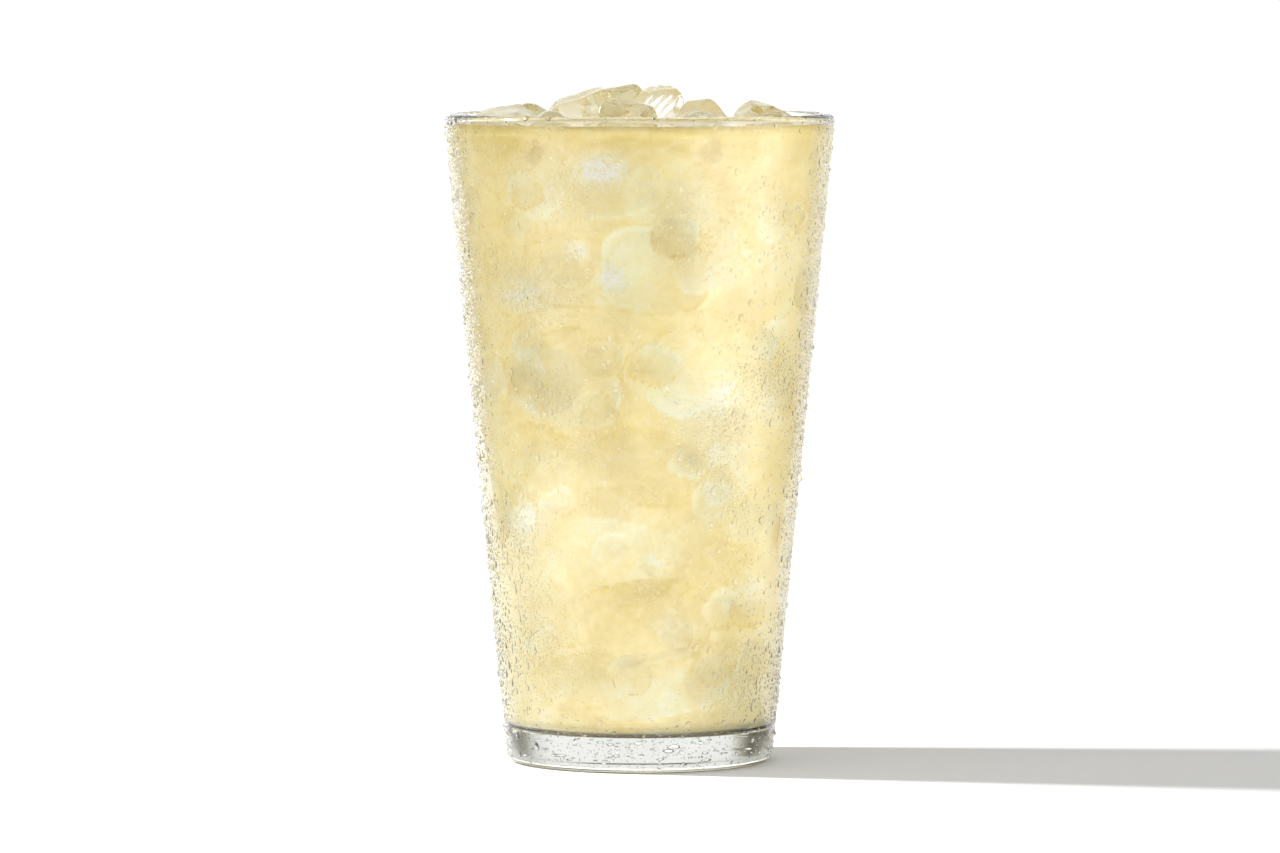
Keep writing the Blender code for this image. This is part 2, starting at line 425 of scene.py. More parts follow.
def worn_cube(cube, half, phase):
    """A rounded box: the direction times the half sizes, over its length in the power of ICE_ROUNDNESS.

    Products of slow sines move it in and out, and a bowl in the upper face is the mould's hollow.
    """
    x, y, z = cube.T
    length = (np.abs(cube) ** ICE_ROUNDNESS).sum(1) ** (1 / ICE_ROUNDNESS)
    form = cube * np.asarray(half) / length[:, None]
    wave = np.sin(2.1 * x + phase) * np.cos(1.7 * y - phase) + np.sin(2.6 * z + 2 * phase)
    hollow = np.where(z > 0.99, np.maximum(0, 1 - (x * x + y * y) / 0.6), 0.0)
    out = form / np.linalg.norm(form, axis=1)[:, None]
    return form + out * (ICE_LUMP * wave / 2 - ICE_DENT * hollow)[:, None]


def chipped(form, random, planes, depth):
    """Cuts a form with random planes: whatever stands beyond a plane is slid along it onto the plane.

    Each plane faces a random way and lies depth millimetres, times a random share, inside the form's reach.
    """
    for _ in range(planes):
        way = random.normal(size=3)
        way /= np.linalg.norm(way)
        along = form @ way
        over = np.maximum(along - (along.max() - depth * random.uniform(0.3, 1.0)), 0.0)
        form = form - over[:, None] * way
    return form


def rippled(form, random, height, size):
    """Adds fine ripples along the form's own direction: a sum of sines with random ways and phases."""
    out = form / np.linalg.norm(form, axis=1)[:, None]
    total = np.zeros(len(form))
    for _ in range(7):
        way = random.normal(size=3)
        way *= 2 * math.pi / (size * random.uniform(0.7, 1.6) * np.linalg.norm(way))
        total += np.sin(form @ way + random.uniform(0, 6.3))
    return form + out * (height * total / 7)[:, None]


def turned_and_moved(form, turn, at):
    """The form turned by three angles in degrees, about X, Y and Z in that order, and moved."""
    matrix = np.array(Euler([math.radians(a) for a in turn]).to_matrix())
    return form @ matrix.T + np.asarray(at)


# %% Ice that stands out of the lemonade
ICE = {
    "ice_left_front": dict(at=(-30.4, -9.2), top=151.3, half=(7.2, 8.0, 7.4), turn=(10, -26, 20)),
    "ice_left_back": dict(at=(-23.6, 11.4), top=151.1, half=(7.6, 7.8, 7.6), turn=(-16, 26, -12)),
    "ice_slab": dict(at=(-11.6, -5.2), top=155.0, half=(8.6, 7.6, 8.4), turn=(5, -19, 6)),
    "ice_middle_back": dict(at=(-4.8, 14.0), top=155.4, half=(6.8, 6.8, 8.4), turn=(-10, -6, 14)),
    "ice_middle_front": dict(at=(-3.4, -21.8), top=152.8, half=(6.8, 7.0, 7.6), turn=(14, 16, -18)),
    "ice_ribbed": dict(at=(4.5, 0.2), top=155.4, half=(5.8, 6.6, 9.2), turn=(4, 5, -4)),
    "ice_right_front": dict(at=(14.8, -13.8), top=152.7, half=(6.0, 7.2, 7.0), turn=(12, -38, 12)),
    "ice_right": dict(at=(27.8, 5.4), top=151.9, half=(7.6, 8.0, 7.8), turn=(-8, 24, 8)),
    "ice_right_low": dict(at=(31.2, -11.8), top=149.9, half=(5.6, 6.4, 6.4), turn=(-14, -12, -24)),
    "ice_back_right": dict(at=(15.6, 22.0), top=149.1, half=(7.4, 7.2, 7.2), turn=(24, -20, 36)),
    "ice_back": dict(at=(-0.4, 31.4), top=149.1, half=(7.4, 6.4, 7.0), turn=(-12, -8, 4)),
    "ice_back_left": dict(at=(-17.4, 26.8), top=149.1, half=(6.8, 6.2, 7.0), turn=(10, 14, 30)),
    "ice_front_left": dict(at=(-20.0, -24.9), top=150.2, half=(6.8, 6.6, 7.0), turn=(-18, 12, 38)),
    "ice_front_right": dict(at=(12.2, -30.8), top=150.1, half=(7.0, 6.2, 7.0), turn=(12, -10, 8)),
}

# Water frozen fast in a tray and then wetted: clear at the skin, with a veil of trapped air inside. The
# skin is glossy where it melts. Its cracks are about 6 mm apart, with a grain of about 2.4 mm on them.
clear_ice, tree, shader = new_material("tray_ice_melting")
shader.inputs["Base Color"].default_value = linear("FFFEF8")
shader.inputs["Transmission Weight"].default_value = 0.97
shader.inputs["Roughness"].default_value = 0.02
shader.inputs["IOR"].default_value = 1.31
place = node(tree, "ShaderNodeTexCoord").outputs["Object"]
cracks = node(tree, "ShaderNodeTexVoronoi", {"Vector": place, "Scale": 170.0}, feature="DISTANCE_TO_EDGE")
fine = node(tree, "ShaderNodeTexNoise", {"Vector": place, "Scale": 420.0, "Detail": 3.0})
height = node(
    tree, "ShaderNodeMath", {0: cracks.outputs["Distance"], 1: fine.outputs["Fac"]}, operation="ADD"
)
bump = node(tree, "ShaderNodeBump", {"Height": height.outputs[0], "Strength": 0.2, "Distance": 0.0005})
tree.links.new(bump.outputs["Normal"], shader.inputs["Normal"])

ICE_STEPS = 28
cube, cube_faces = cube_grid(ICE_STEPS)
for number, (name, spec) in enumerate(ICE.items()):
    random = np.random.default_rng(100 + number)
    form = worn_cube(cube, spec["half"], float(number))
    form = chipped(form, random, 14, 1.7)
    form = rippled(form, random, 0.07, 4.0)
    if name == "ice_ribbed":
        ribs = np.sin((form[:, 0] - 0.8 * form[:, 2]) * 2 * math.pi / 2.0)
        form = form * (1 + 0.012 * ribs)[:, None]
    form = turned_and_moved(form, spec["turn"], (0, 0, 0))
    form[:, 2] += spec["top"] - form[:, 2].max()
    form[:, :2] += spec["at"]
    piece = make_piece(name + "_melting", form * MM, [cube_faces], clear_ice)
    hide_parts(name)

# %% [markdown]
# ## Ice that is sunk in the lemonade
#
# The glass is packed with ice from its foot up, and only what lies against the wall shows through the pulp.
# A physics drop could pile it, but then no piece would lie where the photograph shows one. So the pieces in
# front are listed one by one, by how far round the wall and how high they are, and rings of pieces turned by
# chance fill the rest. All of them are one mesh, because nothing tells them apart but their place.

# %% Sunk ice
FRONT_ICE = (
    # mm right of the middle, mm high, mm wide, deep and high, degrees of roll, mm behind the wall
    (-24.0, 134.0, 18, 18, 20, 12, 1.0),
    (-7.5, 133.0, 20, 18, 21, -18, 0.4),
    (13.0, 132.0, 21, 18, 19, 10, 1.6),
    (31.0, 130.0, 18, 18, 22, -8, 1.2),
    (-29.0, 112.0, 17, 18, 20, -14, 1.4),
    (-12.5, 115.0, 20, 18, 18, 22, 0.8),
    (3.5, 112.5, 19, 18, 21, -6, 0.5),
    (22.0, 110.5, 20, 18, 21, 16, 1.5),
    (-25.0, 92.0, 20, 18, 18, 8, 0.6),
    (-14.0, 90.5, 20, 18, 19, -8, 0.3),
    (9.0, 93.0, 18, 18, 17, 30, 1.8),
    (27.5, 92.5, 18, 18, 20, -12, 0.9),
    (-24.5, 70.0, 18, 18, 18, 20, 1.5),
    (-9.5, 72.5, 20, 18, 18, -14, 0.9),
    (6.0, 74.0, 18, 18, 19, 12, 1.4),
    (18.0, 77.0, 17, 18, 18, -20, 0.5),
    (-24.5, 56.0, 17, 18, 17, -10, 0.5),
    (-8.0, 52.0, 19, 18, 18, 10, 1.4),
    (12.5, 53.0, 24, 18, 19, -6, 0.2),
    (-19.0, 35.0, 18, 18, 18, 16, 1.2),
    (-2.0, 33.5, 20, 18, 17, -12, 0.8),
    (15.5, 34.0, 18, 18, 18, 14, 0.7),
    (-14.5, 17.5, 17, 17, 16, -8, 1.4),
    (1.5, 18.5, 24, 18, 17, 4, 0.2),
    (19.0, 18.0, 16, 17, 17, -16, 1.3),
)
SUNK_STEPS = 12
CHIPS = 36  # small bits between the pieces in front
RINGS = 8


def on_circle(reach, angle, high):
    """The place that is reach from the axis, at an angle in degrees and a height."""
    return (reach * math.cos(math.radians(angle)), reach * math.sin(math.radians(angle)), high)


def sunk_places():
    """Place, half sizes and turn of every sunk piece: the front ones by eye and the rest ring by ring."""
    random = np.random.default_rng(7)
    for right, high, wide, deep, tall, roll, behind in FRONT_ICE:
        stray = random.uniform(-1, 1, 3)
        right, high, roll = right + 3.2 * stray[0], high + 3.6 * stray[1], roll + 24 * stray[2]
        wide, deep, tall = np.array([wide, deep, tall]) * random.uniform(0.75, 1.2, 3)
        reach = inner_radius(high) - behind - 0.46 * deep
        angle = -90 + math.degrees(math.asin(right / inner_radius(high)))
        at = on_circle(reach, angle, high)
        yield at, (wide / 2, deep / 2, tall / 2), (random.uniform(-8, 8), roll, angle + 90)
    for _ in range(CHIPS):
        high, angle = random.uniform(14, 140), random.uniform(-165, -15)
        reach = inner_radius(high) - random.uniform(3, 6)
        at = on_circle(reach, angle, high)
        yield at, tuple(random.uniform(2.6, 5.6, 3)), tuple(random.uniform(-40, 40, 3) + (0, 0, angle))
    for ring in range(RINGS):
        high = 17.0 + ring * 16.4
        reach = inner_radius(high) - 10.2
        count = int(round(2 * math.pi * reach / 19.0))
        start = random.uniform(0, 360 / count)
        for k in range(count):
            angle = start + 360 * k / count
            if -172 < (angle + 180) % 360 - 180 < -8:
                continue
            size = random.uniform(8.0, 10.2, 3)
            at = on_circle(reach, angle, high + random.uniform(-3, 3))
            yield at, tuple(size), tuple(random.uniform(-42, 42, 3) + (0, 0, angle))


# Ice in water hardly bends light, so its index is close to one, and a little off it so that its edges show.
sunk_ice, _, shader = new_material("tray_ice_under_lemonade")
shader.inputs["Base Color"].default_value = (1.0, 1.0, 1.0, 1.0)
shader.inputs["Transmission Weight"].default_value = 1.0
shader.inputs["Roughness"].default_value = 0.0
shader.inputs["IOR"].default_value = 1.05

cube, cube_faces = cube_grid(SUNK_STEPS)
sunk_points, sunk_faces, sunk_specs = [], [], []
for number, (at, half, turn) in enumerate(sunk_places()):
    random = np.random.default_rng(500 + number)
    form = worn_cube(cube, half, 1.7 * number)
    form = rippled(chipped(form, random, 7, 1.3), random, 0.3, 7.0)
    form = turned_and_moved(form, turn, at)
    reach = np.hypot(form[:, 0], form[:, 1])
    form[:, :2] *= np.minimum(1, (inner_radius(form[:, 2]) - 0.15) / reach)[:, None]
    form[:, 2] = np.clip(form[:, 2], BASE_THICKNESS + 0.8, LEVEL - 1.0)
    sunk_faces.append(cube_faces + len(cube) * len(sunk_points))
    sunk_points.append(form)
    sunk_specs.append((at, half, turn))
make_piece("ice_sunk", np.concatenate(sunk_points) * MM, [np.concatenate(sunk_faces)], sunk_ice)
print(len(sunk_specs), "pieces of sunk ice")

# %% [markdown]
# ## The lemonade
#
# Lemonade is water, sugar and pulp. Close to the wall there is too little pulp in the way to see, and deeper
# it adds up to a pale yellow glow. A scattering volume would be truest and slowest. Here the clear part is
# one turned surface that reaches just into the glass's wall, so that no air shows, and the pulp is a second
# surface a little way in, lit through and through by subsurface scattering. Ice keeps the pulp away, so
# the second surface has a hollow behind each piece that touches the wall.

# %% The clear skin of the lemonade
IN_WALL = 0.12  # mm that the skin reaches into the glass
WETTING = 1.3  # mm over which the climb falls off
CLIMB = 0.4  # mm that the liquid climbs the ice


def lemonade_side(z):
    """The lemonade's side: the wall's inside and a little more."""
    return inner_radius(z) + IN_WALL


def filled_profile(side_at, floor_z, top_z, floor_steps, side_steps, top_steps):
    """The profile of a filling: floor, rounded corner, side, and the face on top in to the axis.

    Also gives the numbers of the top's first row and of the side's first row.
    """
    low = corner(side_at, floor_z, FLOOR_FILLET)
    side = between(low[-1], (side_at(top_z), top_z), side_steps)
    across = side_at(top_z) * np.linspace(1, 0, top_steps)[:, None] ** 0.8
    top = np.concatenate([across, np.full_like(across, top_z)], 1)
    start = [(0.0, floor_z)]
    floor_part = between(start[0], low[0], floor_steps)
    profile = np.concatenate([start, floor_part, low, side, top])
    return profile, len(profile) - 1 - top_steps, len(floor_part) + len(low)


def wetted(points, first_top):
    """Raises the top's points where the liquid climbs the ice, by an exponential that falls off both ways."""
    upper = np.arange(len(points)) >= first_top
    upper[-2] = False
    climb = np.zeros(len(points))
    for spec in ICE.values():
        away = np.hypot(points[:, 0] - spec["at"][0], points[:, 1] - spec["at"][1])
        climb = np.maximum(climb, CLIMB * np.exp(-np.abs(away - 0.8 * spec["half"][0]) / WETTING))
    inside = np.clip((inner_radius(LEVEL) - np.hypot(points[:, 0], points[:, 1])) / 3, 0, 1)
    points[upper, 2] += (climb * inside)[upper]
    return points


clear_part, _, shader = new_material("lemonade_clear_part")
shader.inputs["Base Color"].default_value = linear("FFFDF4")
shader.inputs["Transmission Weight"].default_value = 1.0
shader.inputs["Roughness"].default_value = 0.0
shader.inputs["IOR"].default_value = 1.34

SKIN_COLUMNS = 192
profile, first_top, _ = filled_profile(lemonade_side, BASE_THICKNESS - IN_WALL, LEVEL, 5, 40, 60)
points = wetted(turned(profile, SKIN_COLUMNS), first_top * SKIN_COLUMNS)
skin = make_piece(
    "lemonade_clear_part", points * MM, ring_faces(len(profile) - 2, SKIN_COLUMNS), clear_part
)
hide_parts("lemonade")

# %% The pulp, and its hollows behind the ice
VEIL = 0.9  # mm of lemonade between the wall and where the pulp adds up
DEEPEST = 2.2  # mm that a hollow goes in behind a piece of ice
HIDES = 3.0  # mm of lemonade in front of a piece of ice that hide most of it
PULP_COLUMNS, PULP_ROWS = 420, 166
PULP_RINGS = 42
CAVITY = 3.0  # mm that the pulp dips under ice that stands out
BARE_TONE, TOP_TONE = 0.42, 0.38  # tones from 0, the deepest yellow, to 1, the palest


def pulp_side(z):
    """The pulp's side: the veil's thickness inside the wall."""
    return inner_radius(z) - VEIL


def soften(field, times):
    """Averages each number of a grid with its neighbours round and up, several times over."""
    for _ in range(times):
        field = (np.roll(field, 1, 1) + 2 * field + np.roll(field, -1, 1)) / 4
        padded = np.pad(field, ((1, 1), (0, 0)), mode="edge")
        field = (padded[:-2] + 2 * field + padded[2:]) / 4
    return field


profile, first_top, first_side = filled_profile(
    pulp_side, BASE_THICKNESS + 0.2, LEVEL - 0.15, 5, PULP_ROWS, PULP_RINGS
)
points = turned(profile, PULP_COLUMNS)
side = slice(first_side * PULP_COLUMNS, (first_side + PULP_ROWS) * PULP_COLUMNS)
wall = points[side]
inward = np.column_stack([-wall[:, 0], -wall[:, 1], 0 * wall[:, 0]])
inward /= np.hypot(wall[:, 0], wall[:, 1])[:, None]
steps = np.linspace(-VEIL, 16, 36)
random = np.random.default_rng(21)
hollow, tone = np.zeros(len(wall)), np.full(len(wall), BARE_TONE)
for at, half, turn in sorted(sunk_specs, key=lambda s: math.hypot(s[0][0], s[0][1]) / inner_radius(s[0][2])):
    close = np.flatnonzero(np.linalg.norm((wall - at) / 1.8 / max(half), axis=1) < 1.0)
    matrix = np.array(Euler([math.radians(a) for a in turn]).to_matrix())
    path = wall[close, None] + inward[close, None] * steps[:, None]
    local = (path - at) @ matrix / half
    size = (np.abs(local) ** ICE_ROUNDNESS).sum(2) ** (1 / ICE_ROUNDNESS)
    nearest = size.argmin(1)
    size = size[np.arange(len(close)), nearest]
    local = local[np.arange(len(close)), nearest]
    front = steps[nearest] + VEIL
    # Painted light: each piece's own tone, one side painted lighter, a painted dark outline and a painted
    # highlight.
    way = random.normal(size=3) * (1, 0.3, 1)
    painted_lit_side = local @ (way / np.linalg.norm(way))
    edge = np.exp(-(((size - 0.97) / 0.035) ** 2))
    painted_highlight_line = np.exp(-(((size - 0.9) / 0.03) ** 2)) * np.clip(painted_lit_side, 0, 1)
    shade = random.uniform(0.3, 0.74) + 0.3 * painted_lit_side - 0.5 * edge + 0.6 * painted_highlight_line
    covers = np.clip((1.0 - size) / 0.05, 0, 1) * random.uniform(0.55, 0.95)
    covers = covers * np.exp(-np.maximum(front - 8, 0) / HIDES)
    tone[close] = tone[close] * (1 - covers) + shade * covers
    hollow[close] = np.maximum(hollow[close], DEEPEST * np.clip((1 - size) / 0.4, 0, 1) * covers)
grid = (PULP_ROWS, PULP_COLUMNS)
hollow = soften(hollow.reshape(grid), 3).ravel()
points[side] += inward * hollow[:, None]
# The tone deepens just below the top, where no ice lies at the wall. In the corner above the foot it is
# darkened as painted shade.
tone -= 0.27 * np.clip((wall[:, 2] - 139) / 6, 0, 1) + 0.6 * np.clip((13 - wall[:, 2]) / 4, 0, 1)

# Painted highlights: white patches where light glints in the sunk ice, painted into the pulp's colour.
PAINTED_GLINTS = (
    # mm right of the middle, mm high, mm wide and high, how white
    (-8.6, 137.3, 6.5, 3.6, 1.5), (-14.3, 119.0, 3.0, 2.4, 1.1), (-6.3, 113.0, 3.4, 2.8, 1.4),
    (-26.5, 109.0, 6.5, 4.6, 0.7), (18.8, 86.0, 3.6, 6.0, 0.8), (-24.5, 57.8, 4.6, 4.4, 0.8),
    (4.0, 48.5, 6.0, 3.4, 0.6), (24.4, 40.5, 4.0, 5.0, 0.5), (6.5, 33.5, 4.4, 4.4, 0.4),
    (-20.0, 128.0, 5.0, 5.0, 0.2), (31.0, 120.0, 5.0, 9.0, 0.4), (28.0, 84.0, 5.0, 6.0, 0.35),
)
white = np.zeros(len(wall))
right = inner_radius(wall[:, 2]) * np.where(wall[:, 1] < 0, wall[:, 0], 99) / np.hypot(wall[:, 0], wall[:, 1])
for x, z, wide, tall, strong in PAINTED_GLINTS:
    white += strong * np.exp(-(((right - x) / wide) ** 2 + ((wall[:, 2] - z) / tall) ** 2) * 1.6)

# The ice that stands out of the lemonade keeps the pulp away too: the pulp's top dips below each piece.
upper = np.arange(len(points)) >= first_top * PULP_COLUMNS
upper[-2] = False
reach = np.hypot(points[:, 0], points[:, 1])
clear = np.zeros(len(points))
for spec in ICE.values():
    turn = math.radians(spec["turn"][2])
    x, y = points[:, 0] - spec["at"][0], points[:, 1] - spec["at"][1]
    u = (x * math.cos(turn) + y * math.sin(turn)) / spec["half"][0]
    v = (y * math.cos(turn) - x * math.sin(turn)) / spec["half"][1]
    clear = np.maximum(clear, np.clip((0.97 - (u**4 + v**4) ** 0.25) / 0.2, 0, 1))
clear *= upper * np.clip((pulp_side(LEVEL) - 1 - reach) / 2, 0, 1)
points[:, 2] -= CAVITY * clear
painted_glint, tone_and_painted_light = np.zeros(len(points)), TOP_TONE + 0.45 * clear
painted_glint[side] = white
tone_and_painted_light[side] = tone
print(f"tone {tone.min():.2f} to {tone.max():.2f}, hollows reach {hollow.max():.1f} mm in")

# Lemon juice in water, stirred. Pulp scatters light many times over before it comes back, which is what
# subsurface scattering draws, and sugar and juice take out more blue than red on the way. It drifts in
# clouds of about 13 mm, with wisps of about 4 mm. The tone read from the mesh carries painted shade and
# painted highlights on the sunk ice, and the white specks of about 1.4 mm are painted glints.
pulp, tree, shader = new_material("lemonade_pulp")
place = node(tree, "ShaderNodeTexCoord").outputs["Object"]
drift = node(tree, "ShaderNodeTexNoise", {"Vector": place, "Scale": 75.0, "Detail": 4.0, "Distortion": 0.8})
pieces = node(tree, "ShaderNodeAttribute", attribute_name="tone_and_painted_light").outputs["Fac"]
wisps = node(tree, "ShaderNodeTexNoise", {"Vector": place, "Scale": 240.0, "Detail": 5.0, "Distortion": 1.6})
blend = node(tree, "ShaderNodeMath", {0: wisps.outputs["Fac"], 1: 0.7, 2: pieces}, operation="MULTIPLY_ADD")
blend = node(tree, "ShaderNodeMath", {0: drift.outputs["Fac"], 1: blend.outputs[0]}, operation="ADD")
level = node(tree, "ShaderNodeMath", {0: blend.outputs[0], 1: 0.83}, operation="SUBTRACT")
colours = node(tree, "ShaderNodeValToRGB", {"Fac": level.outputs[0]})
colours.color_ramp.elements[0].position = 0.0
colours.color_ramp.elements[0].color = linear("E4D388")
colours.color_ramp.elements[1].position = 1.0
colours.color_ramp.elements[1].color = linear("FDF9E4")
middle = colours.color_ramp.elements.new(0.5)
middle.color = linear("F5E9BB")
# Painted highlight: in the glint patches, fine specks mix the colour to white.
cells = node(tree, "ShaderNodeTexVoronoi", {"Vector": place, "Scale": 700.0}).outputs["Distance"]
limits = {"Value": cells, "From Min": 0.15, "From Max": 0.6}
speckle = node(tree, "ShaderNodeMapRange", limits).outputs["Result"]
painted_glint_mask = node(tree, "ShaderNodeAttribute", attribute_name="painted_glint").outputs["Fac"]
patch = node(tree, "ShaderNodeMath", {0: painted_glint_mask, 1: speckle}, operation="MULTIPLY").outputs[0]
layers = {"Factor": patch, 6: colours.outputs["Color"], 7: linear("FFFFFF")}
tint = node(tree, "ShaderNodeMix", layers, data_type="RGBA")
tree.links.new(tint.outputs[2], shader.inputs["Base Color"])
shader.inputs["Subsurface Weight"].default_value = 1.0
shader.inputs["Subsurface Radius"].default_value = (0.8, 0.75, 0.5)
shader.inputs["Subsurface Scale"].default_value = 0.001
shader.inputs["Roughness"].default_value = 0.6
shader.inputs["Specular IOR Level"].default_value = 0.0

cloud = make_piece(
    "lemonade_pulp", points * MM, ring_faces(len(profile) - 2, PULP_COLUMNS), pulp
)
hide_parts("lemonade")
mark(cloud, "tone_and_painted_light", tone_and_painted_light)
mark(cloud, "painted_glint", painted_glint)

# %% [markdown]
# ## Dew
#
# A cold glass in warm air gathers dew. It starts as mist, neighbours merge into beads, and where a bead
# grows past about two millimetres it slides and leaves a clear track. A particle system could scatter
# spheres, but real drops are flat lenses that wet the wall. So one drop is worked out on a polar grid, as a
# cap whose height falls off with the square of the distance, and copies of every size are laid on the cone.


# %% The path that dew lies on
path = np.concatenate([heel, between(heel[-1], lip[0], 60), lip[:-2]])
steps_along = np.hypot(*np.diff(path, axis=0).T)
PATH_AT = np.concatenate([[0.0], np.cumsum(steps_along)])
heading = np.gradient(path, PATH_AT, axis=0)
heading /= np.linalg.norm(heading, axis=1)[:, None]
print(f"the glass's outside is {PATH_AT[-1]:.1f} mm from the heel up and over the lip")


def on_path(along):
    """Radius, height and the outward normal's two parts, at so many mm along the outside's profile."""
    r, z, turn_r, turn_z = (np.interp(along, PATH_AT, x) for x in (*path.T, *heading.T))
    return r, z, turn_z, -turn_r


# %% Drop form
DROP_EDGE = 0.03  # mm that a drop's edge lies inside the glass


def drops(spokes, rings, angle, along, radius, height, stretch, random):
    """Points (drops, points, 3) in millimetres and faces of many drops laid on the glass's outside.

    Each is a round patch, made uneven by two sines of the angle, whose height is one less the square of the
    distance from its middle. Its upper end is drawn out by stretch and thinned, as gravity does, and its edge
    lies a little inside the glass, so that no gap shows.
    """
    count = len(angle)
    out = np.linspace(0, 1, rings + 1)[1:]
    round_it = -np.arange(spokes) * 2 * math.pi / spokes
    wobble = 1 + 0.10 * np.sin(2 * round_it + random.uniform(0, 6.3, (count, 1))) + 0.06 * np.sin(
        3 * round_it + random.uniform(0, 6.3, (count, 1))
    )
    u = out[None, :, None] * (wobble * np.cos(round_it))[:, None, :]
    v = out[None, :, None] * (wobble * np.sin(round_it))[:, None, :]
    cap = np.broadcast_to((1 - out**2)[None, :, None], u.shape)
    u, v, cap = (x.reshape(count, -1) for x in (u, v, cap))
    poles = np.zeros((count, 2))
    u, v = np.hstack([u, poles]), np.hstack([v, poles])
    cap = np.hstack([cap, poles + (1.0, -0.15)])
    upper = np.maximum(v, 0)
    narrow = 1 - 0.45 * upper * np.minimum(stretch, 1)[:, None]
    full = 1 - 0.35 * upper * np.minimum(stretch, 1)[:, None] - 0.15 * v
    u = u * narrow * radius[:, None]
    v = (v + upper * stretch[:, None]) * radius[:, None]
    w = cap * full * height[:, None] - DROP_EDGE
    r, z, normal_r, normal_z = on_path(along[:, None] + v)
    theta = angle[:, None] + u / r
    r, z = r + w * normal_r, z + w * normal_z
    places = np.stack([r * np.cos(theta), r * np.sin(theta), z], -1)
    size = places.shape[1]
    faces = [
        (f[None] + size * np.arange(count)[:, None, None]).reshape(-1, f.shape[1])
        for f in ring_faces(rings, spokes)
    ]
    return places.reshape(-1, 3), faces


def spread(apart, low, high, random):
    """Places on the glass: rows the given millimetres apart, as far apart along each, each one strayed."""
    rows = np.arange(low, high, 0.87 * apart)
    round_row = 2 * math.pi * on_path(rows)[0]
    counts = (round_row / apart).astype(int)
    row = np.repeat(np.arange(len(rows)), counts)
    across = np.arange(len(row)) - np.repeat(np.cumsum(counts) - counts, counts)
    stray = random.uniform(-0.42, 0.42, (2, len(row))) * apart
    angle = ((across + 0.5 * (row % 2)) / counts[row] + stray[0] / round_row[row]) * 2 * math.pi
    return angle % (2 * math.pi), rows[row] + stray[1]


def patchy(angle, along, size, seed):
    """A slow uneven field from 0 to 1 over the wall: a sum of waves round it and up it."""
    random = np.random.default_rng(seed)
    total = 0
    for _ in range(8):
        waves_round = random.integers(1, 2 + int(120 / size))
        lean = random.uniform(-1, 1) * 6.3 / size
        total = total + np.sin(waves_round * angle + along * lean + random.uniform(0, 6.3))
    return 0.5 + 0.5 * np.tanh(total / 2.5)


# What is already wet, as a map of the wall in cells of about 0.1 mm: rows go up and columns go round.
CELL = 0.1
CELLS_ROUND = 2400
wet = np.zeros((int(PATH_AT[-1] / CELL) + 1, CELLS_ROUND), bool)


def wet_cells(angle, along, radius, wider=0.0):
    """Row and column numbers of the cells that one drop covers, as a square."""
    up = np.arange(int((along - radius - wider) / CELL), int((along + radius + wider) / CELL) + 1)
    half = (radius + wider) / (2 * math.pi * on_path(along)[0]) * CELLS_ROUND
    turn = angle / (2 * math.pi) * CELLS_ROUND
    across = np.arange(int(turn - half), int(turn + half) + 1)
    return np.clip(up, 0, len(wet) - 1)[:, None], across[None] % CELLS_ROUND


# Plain water, so only its index is given: it is clear and as smooth as a liquid is. The finest drops stand
# for clusters of still finer ones, which scatter light and look white.
dew, _, shader = new_material("dew_water")
shader.inputs["Base Color"].default_value = (1.0, 1.0, 1.0, 1.0)
shader.inputs["Transmission Weight"].default_value = 1.0
shader.inputs["Roughness"].default_value = 0.0
shader.inputs["IOR"].default_value = 1.333
fog, _, shader = new_material("dew_fog")
shader.inputs["Base Color"].default_value = (1.0, 1.0, 1.0, 1.0)
shader.inputs["Transmission Weight"].default_value = 0.3
shader.inputs["Roughness"].default_value = 0.25
shader.inputs["IOR"].default_value = 1.333

# %% Lay the dew
RUNS = (
    # mm right of the middle, mm high, radius and stretch of the drops that have begun to slide in front
    (-28.4, 41.0, 0.8, 1.5), (-27.4, 34.5, 0.75, 1.9), (-29.6, 30.0, 0.6, 1.2), (-30.6, 63.0, 0.7, 1.2),
    (25.8, 13.8, 0.85, 1.6), (26.8, 19.5, 0.7, 1.4), (29.0, 27.0, 0.6, 1.2), (24.6, 22.5, 0.5, 1.0),
    (-3.0, 61.0, 0.8, 0.8), (-5.5, 57.5, 0.9, 0.5), (12.0, 72.0, 0.9, 0.6), (13.5, 69.0, 0.8, 0.5),
    (-33.5, 118.0, 0.6, 0.9), (33.0, 96.0, 0.6, 0.9), (6.0, 88.0, 0.7, 0.5), (20.0, 52.0, 0.6, 0.8),
)
DEWY = (
    # mm right of the middle, mm high and mm wide of the places in front where more dew has gathered
    (-8.0, 139.0, 4.0), (-14.0, 132.0, 5.0), (8.0, 127.0, 7.0), (-24.0, 109.0, 5.0), (-30.0, 50.0, 7.0),
    (-28.0, 28.0, 9.0), (18.0, 82.0, 5.0), (-7.0, 60.0, 6.0), (26.0, 20.0, 7.0), (14.0, 74.0, 6.0),
    (30.0, 90.0, 6.0), (-3.0, 104.0, 4.0), (10.0, 117.0, 3.5), (-20.0, 86.0, 4.5), (-13.0, 74.0, 4.0),
    (2.0, 41.0, 4.0), (-12.0, 25.0, 4.0), (20.0, 62.0, 4.0), (-4.0, 88.0, 3.5),
)
DEW = (
    # name, spokes, rings, mm apart, share kept at the sides and in the middle, radii in mm, height, stretch
    ("dew_beads", 14, 4, 4.2, 0.35, 0.14, 0.5, 1.0, 0.65, 0.3),
    ("dew_drops", 10, 3, 1.9, 0.35, 0.12, 0.3, 0.6, 0.75, 0.1),
    ("dew_fine", 6, 2, 0.95, 0.45, 0.06, 0.2, 0.36, 0.75, 0.0),
    ("dew_mist", 6, 1, 0.62, 0.65, 0.07, 0.12, 0.24, 0.7, 0.0),
    ("dew_fog", 6, 1, 0.46, 0.7, 0.01, 0.12, 0.22, 0.8, 0.0),
)
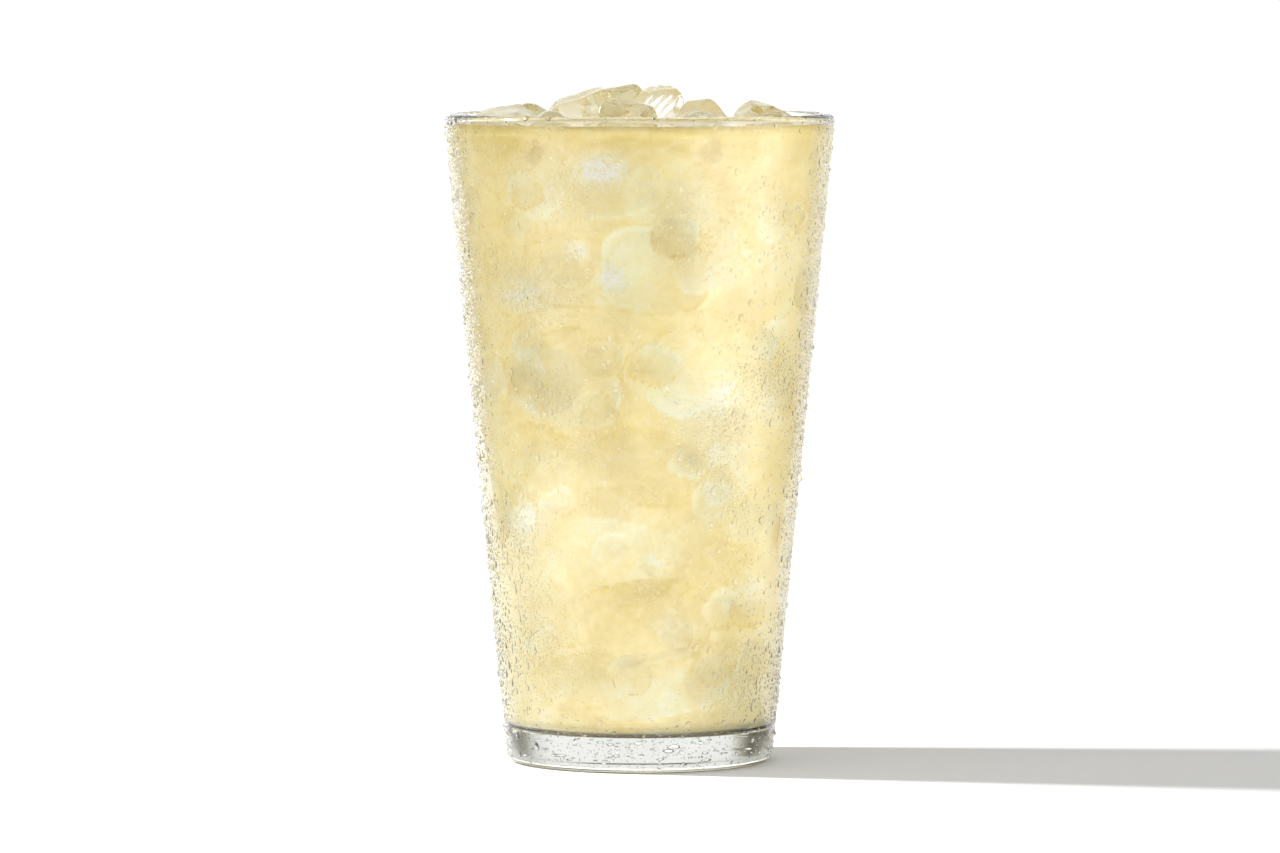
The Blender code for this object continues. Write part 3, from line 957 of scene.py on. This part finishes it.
# Distances along the profile, in mm: the lowest dew, the foot's thinly covered band and where the lip
# begins. A height above the foot is a little less than the distance along the profile.
LOWEST, FOOT_BAND, WALL_TOP = 2.6, 11.0, PATH_AT[-1] - 3.4
ALONG_LESS_HEIGHT = 1.4
place = np.array(RUNS)
angle = (-math.pi / 2 + np.arcsin(place[:, 0] / outer_radius(place[:, 1]))) % (2 * math.pi)
random = np.random.default_rng(39)
along = place[:, 1] + ALONG_LESS_HEIGHT
runs = drops(16, 5, angle, along, place[:, 2], 0.5 * place[:, 2], place[:, 3], random)
make_piece("dew_runs", runs[0] * MM, runs[1], dew, flat=(2,))
for a, s, radius in zip(angle, along, place[:, 2]):
    wet[wet_cells(a, s + 0.5 * radius, radius)] = True
for kind, (name, spokes, rings, apart, side, middle, least, most, fullness, drawn) in enumerate(DEW):
    random = np.random.default_rng(40 + kind)
    top = PATH_AT[-1] - 0.4 if most < 0.4 else WALL_TOP
    angle, along = spread(apart, LOWEST + most, top, random)
    edge = np.clip((np.abs(np.cos(angle)) - 0.89) / 0.06, 0, 1) ** 1.5
    edge = np.where(along > WALL_TOP, 0.4 if name == "dew_fog" else 0.0, edge)
    share = middle * 2 * patchy(angle, along, 22, 60 + kind) * (1 - edge) + side * edge
    right = np.where(np.sin(angle) < 0, np.cos(angle), 9.0) * on_path(along)[0]
    for x, z, wide in DEWY if name != "dew_fog" else ():
        share = share + 0.7 * np.exp(-((right - x) ** 2 + (along - ALONG_LESS_HEIGHT - z) ** 2) / wide**2)
    share = np.where(along < FOOT_BAND, 0.3 * share + (0.0 if name == "dew_fog" else 0.14), share)
    row, column = (along / CELL).astype(int), (angle / (2 * math.pi) * CELLS_ROUND).astype(int)
    keep = (random.uniform(size=len(angle)) < share) & ~wet[row, column]
    angle, along, edge = angle[keep], along[keep], edge[keep]
    radius = least + (most - least) * random.beta(1.3, 2.4, len(angle))
    height = radius * fullness * (0.6 + 0.6 * edge) * random.uniform(0.8, 1.15, len(angle))
    stretch = drawn * random.uniform(0.4, 1.4, len(angle))
    points, faces = drops(spokes, rings, angle, along, radius, height, stretch, random)
    make_piece(name, points * MM, faces, fog if name == "dew_fog" else dew, flat=(2,))
    print(f"{name}: {len(angle)} drops")
    for a, s, r in zip(angle, along, radius) if name != "dew_fog" else ():
        wet[wet_cells(a, s, r, least * 0.4)] = True
